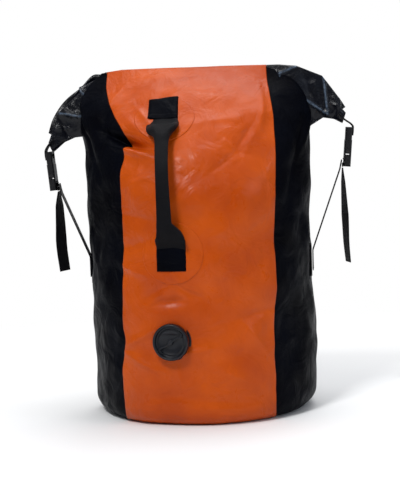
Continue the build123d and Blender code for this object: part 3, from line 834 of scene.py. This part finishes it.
def make_handle(webbing):
    """The handle in two halves, each bending between the bag and the grip."""
    top = on_bag(angle_at(-46.0, along_at(468)), along_at(468), 2.6)
    low = on_bag(angle_at(-36.5, along_at(270)), along_at(270), 2.6)
    # x, y, z, width, thickness, ripple, slant of the width away from the wall
    upper = [
        (-46.3, *top[1:], 40, 1.8, 0.0, -0.16),
        (-46.3, top[1] - 8.5, 459, 46, 3.4, 0.7, -0.16),
        (-46.4, top[1] - 17.5, 452.5, 50, 6.5, 2.2, -0.12),
        (-46.3, -134, 446.5, 45, 9.5, 3.2, -0.06),
        (-45.9, -148, 437.5, 26.0, 10.0, 1.8, 0.0),
        (-45.7, -159, 427, 21.0, 6.2, 0.2, 0.0),
        (-45.5, -172, 412, 20.2, 5.4, 0.0, 0.0),
        (-45.0, -187, 390, 19.6, 5.2, 0.0, 0.0),
        (-44.5, -194, 368, 19.8, 5.2, 0.0, 0.0),
        (-44.0, -196.5, 346, 20.5, 5.2, 0.0, 0.0),
    ]
    lower = [
        (-44.0, -196.5, 346, 20.5, 5.2, 0.0, 0.0),
        (-43.6, -196, 325, 21.5, 5.2, 0.0, 0.0),
        (-43.6, -194.5, 311, 22.5, 5.8, 0.2, 0.0),
        (-43.2, -193.0, 305, 25.0, 7.6, 1.0, -0.03),
        (-40.6, -190.0, 297, 33.0, 8.0, 1.5, -0.08),
        (-37.6, -186.0, 288, 43.0, 6.2, 1.2, -0.15),
        (-36.3, -181.0, 279, 46.0, 3.6, 0.4, -0.21),
        (-36.0, low[1] + 0.5, 268, 44.0, 1.8, 0.0, -0.21),
    ]
    for name, knots, start, end, node_names in (
        ("handle_upper", upper, (-0.046, -0.110, 0.456), (-0.0455, -0.152, 0.434),
         ("top_handle_end", "handle_grip")),
        ("handle_lower", lower[::-1], (-0.0365, -0.178, 0.283), (-0.0435, -0.1945, 0.308),
         ("bottom_handle_end",)),
    ):
        path, at = smooth_path(knots, 150)
        sides = np.stack([np.ones(len(path)), path[:, 6], np.zeros(len(path))], -1)
        body = ("bag", "handle", start, end)
        sweep(name, path[:, :3], sides, path[:, 3], path[:, 4], at, webbing, body, node_names,
              path[:, 5], capped=False)


def box_stitches(name, centre, along_dir, side_dir, out_dir, width, length, material, body):
    """A sewn box with a cross, as short raised stitches."""
    pitch = 3.0
    corners = [(-1, -1), (1, -1), (1, 1), (-1, 1), (-1, -1), (1, 1), (1, -1), (-1, 1)]
    runs = list(zip(corners[:4], corners[1:5])) + [(corners[4], corners[5]), (corners[6], corners[7])]
    points, faces = [], []
    for a, b in runs:
        a, b = np.array(a) * (width / 2, length / 2), np.array(b) * (width / 2, length / 2)
        distance = np.linalg.norm(b - a)
        way = (b - a) / distance
        for k in range(int(distance / pitch)):
            mid = a + way * (k + 0.5) * pitch
            base = len(points)
            for end, lift in ((-1.05, 0.0), (0, 0.35), (1.05, 0.0)):
                for across in (-0.28, 0.28):
                    flat = mid + way * end + np.array([-way[1], way[0]]) * across
                    points.append(centre + side_dir * flat[0] + along_dir * flat[1] + out_dir * lift)
            faces += [(base, base + 1, base + 3, base + 2), (base + 2, base + 3, base + 5, base + 4)]
    add_piece(name, points, faces, material, body)


STRAP_WIDTH = 24.6
STRAP_THICKNESS = 1.5


def make_straps(webbing):
    """Side straps, their turns round the buckles and the hanging tails.

    spot() gives a place by the buckle: so far outward from its foot and so far up along it."""
    for word, side in (("right", 1), ("left", -1)):
        foot = np.array([235.0, 0, 377.0]) if side > 0 else np.array([-231.5, 0, 354.0])
        lean = math.radians(5)
        up = np.array([side * math.sin(lean), 0, math.cos(lean)])
        out = np.array([side * math.cos(lean), 0, -math.sin(lean)])

        def spot(outward, upward):
            return foot + out * outward + up * upward

        def strap(name, knots, thickness, body, nodes, count, twist=None, taut=False):
            path, at = (straight_path if taut else smooth_path)(knots, count)
            turn = np.zeros(count) if twist is None else np.radians(np.interp(at / at[-1], *twist))
            sides = np.stack([np.sin(turn), np.cos(turn), np.zeros(count)], -1)
            sweep(name, path, sides, np.full(count, STRAP_WIDTH), np.full(count, thickness), at, webbing,
                  body, nodes)

        wall = side * (BODY_RADIUS + 2.6)
        lower = [(wall, 0, 214), (wall + side * 0.3, 0, 246), spot(-10.5, -5.0), spot(-8.6, 10.0)]
        lower_body = ("bag", f"{word}_adjuster", (wall * MM, 0, 0.246), tuple(lower[2] * MM))
        strap(f"strap_{word}", lower, STRAP_THICKNESS, lower_body, (f"{word}_lower_strap",), 110, taut=True)
        tip = (233.0, 0, 451.5) if side > 0 else (-237.6, 0, 426.0)
        behind_tip = (tip[0] - side * 9, 0, tip[2] + 9)
        upper = [spot(5.9, 49.0), spot(6.2, 58.0), spot(5.6, 64.0), tip, behind_tip]
        strap(f"strap_{word}_top", upper, 2.6, "bag", (f"{word}_upper_strap",), 50)
        turned = [spot(o, u) for o, u in (
            (-6.4, -1.0), (-6.3, 4.6), (-2.0, 5.6), (2.6, 6.4), (3.4, 8.6), (2.6, 10.8), (-2.0, 11.6),
            (-6.6, 11.6),
        )]
        adjuster = f"{word}_adjuster"
        strap(f"strap_{word}_turn", turned, STRAP_THICKNESS, adjuster, (f"{word}_strap_turn",), 70)
        top = spot(-6.5, -2.5)
        if side > 0:
            hanging = [
                (0.3, -0.5, 362), (1.2, -1.5, 330), (2.4, -2, 290), (3.2, -1.5, 255), (5.5, -0.5, 225),
            ]
            twist = ([0, 0.15, 0.5, 1.0], [0, -12, -24, -16])
        else:
            hanging = [(-0.2, 0.5, 336), (0.2, 1.0, 300), (0.6, 1.5, 262), (4.5, 1.0, 224)]
            twist = ([0, 0.18, 0.6, 1.0], [0, 22, 36, 34])
        tail = [tuple(top)] + [(top[0] + dx, y, z) for dx, y, z in hanging]
        strap(f"tail_{word}", tail, STRAP_THICKNESS, f"{word}_tail", (f"{word}_strap_tail",), 90, twist)
        sewn = np.array([side * (BODY_RADIUS + 3.6), 0, 230.0])
        z_way, y_way, x_way = np.array([0, 0, 1.0]), np.array([0, 1.0, 0]), np.array([side, 0, 0])
        box_stitches(f"stitches_{word}", sewn, z_way, y_way, x_way, 19, 26, webbing, "bag")


# ---- Valve and hardware ------------------------------------------------------------------
VALVE = np.array([-39.0, -170.6, 130.0])
VALVE_OUT = np.array([-0.2229, -0.9749, 0])
VALVE_SIDE = np.array([0.9749, -0.2229, 0])


def valve_point(x, z, height):
    """A point in the valve's own frame: across, up and outward from the bag."""
    return VALVE + VALVE_SIDE * x + np.array([0, 0, z]) + VALVE_OUT * height


def make_valve(material):
    """The screw cap: ribbed rim, dished face, crescent step and the S-shaped finger grip."""
    profile = [
        (0.01, 9.3), (9, 9.3), (17.5, 9.3), (18.2, 9.9), (19.4, 10.0), (20.1, 9.3), (22.4, 9.4),
        (23.1, 10.6), (23.5, 12.8), (24.1, 13.9), (25.2, 14.3), (26.4, 14.1), (27.2, 13.3),
        (27.5, 12.0), (27.5, 8.0), (27.5, 4.4), (27.1, 3.0), (26.0, 2.9),
    ]
    ring = 144
    points = []
    for r, h in profile:
        for k in range(ring):
            a = 2 * math.pi * k / ring
            grip = 0.35 * math.cos(48 * a) if 4 < h < 13 and r > 27 else 0.0
            points.append(valve_point((r + grip) * math.cos(a), (r + grip) * math.sin(a), h))
    faces = grid_faces(len(profile), ring, closed=True)
    add_piece("cap_body", points, faces, material, "cap", None, ("valve_cap",))
    half = [(8.0, 5.6, 0), (14.5, 8.4, 0), (17.8, 11.5, 0), (13.5, 16.5, 0)]
    other_half = [(-x, -z, 0) for x, z, _ in reversed(half)]
    path, at = smooth_path([*other_half, (0, 0, 0), *half], 90)
    centres = np.array([valve_point(x, z, 10.6) for x, z, _ in path])
    across = np.gradient(path, axis=0)
    across /= np.linalg.norm(across, axis=1, keepdims=True)
    sides = np.array([VALVE_SIDE * -t[1] + np.array([0, 0, t[0]]) for t in across])
    wide = np.interp(at / at[-1], [0, 0.3, 0.5, 0.7, 1], [2.4, 3.0, 4.6, 3.0, 2.4])
    sweep("cap_grip", centres, sides, wide, np.full(len(path), 3.6), at, material, "cap")
    boss = [(0.01, 13.0), (1.2, 13.0), (1.6, 13.5), (3.0, 13.4), (3.8, 12.8), (4.4, 9.2)]
    boss_ring = 40
    turns = [2 * math.pi * k / boss_ring for k in range(boss_ring)]
    points = [valve_point(r * math.cos(a), r * math.sin(a), h) for r, h in boss for a in turns]
    faces = grid_faces(len(boss), boss_ring, closed=True)
    add_piece("cap_boss", points, faces, material, "cap")
    count = 24
    chord = [(x, 11.0) for x in np.linspace(-14.5, 14.5, count)]
    arc = [(18.2 * math.sin(a), 18.2 * math.cos(a)) for a in np.linspace(-0.92, 0.92, count)]
    points = [valve_point(x, z, height) for height in (10.3, 9.2) for x, z in chord + arc]
    faces = [(i, i + 1, i + count + 1, i + count) for i in range(count - 1)]
    faces += [(i + 2 * count, i + 2 * count + 1, i + 1, i) for i in range(count - 1)]
    add_piece("cap_step", points, faces, material, "cap")


def finish_node(made, material, edge):
    """Material and softened edges, in millimetres, for a hard piece kept from the CAD."""
    made.data.materials.clear()
    made.data.materials.append(material)
    for polygon in made.data.polygons:
        polygon.material_index = 0
    soft = made.modifiers.new("edges", "BEVEL")
    soft.width = edge * MM
    soft.segments = 2
    soft.limit_method = "ANGLE"
    soft.angle_limit = math.radians(35)


def main():
    make_camera()
    make_studio()
    orange = tarpaulin("orange_tarpaulin", (0.42, 0.051, 0.0002), (0.53, 0.075, 0.0006), 0.32, 0.05, 0.17)
    black = tarpaulin("black_tarpaulin", (0.0012, 0.0012, 0.0022), (0.002, 0.0025, 0.005), 0.36, 0.0, 0.02)
    # the wings' black, with a pale bluish colour painted along the deep creases as highlights
    folded = tarpaulin(
        "folded_black_tarpaulin", (0.0012, 0.0013, 0.003), (0.002, 0.003, 0.007), 0.2, 0.0, 0.24,
        (0.10, 0.14, 0.20),
    )
    webbing = webbing_material("webbing", (0.0018, 0.0018, 0.0026), (0.004, 0.004, 0.006))
    acetal = plastic("buckle_plastic", (0.004, 0.004, 0.005), 0.38)
    valve_plastic = plastic("valve_plastic", (0.004, 0.005, 0.008), 0.36)
    rubber = plastic("valve_rubber", (0.008, 0.008, 0.008), 0.6)
    make_bag(orange, black)
    make_crest(orange, black)
    make_roll(orange, folded)
    make_wings(folded)
    make_patches(orange, black)
    make_handle(webbing)
    make_valve(valve_plastic)
    make_straps(webbing)
    for name, made in NODES.items():
        if "buckle" in name or "prong" in name:
            finish_node(made, acetal, 0.5)
        elif name in ("valve_seal", "valve_flap"):
            finish_node(made, rubber, 0.2)
        elif name in ("valve_body", "valve_flange", "valve_backing_ring"):
            finish_node(made, valve_plastic, 0.3)
        elif name in ("base_disc", "left_anchor_patch", "right_anchor_patch"):
            finish_node(made, black, 0.2)


main()
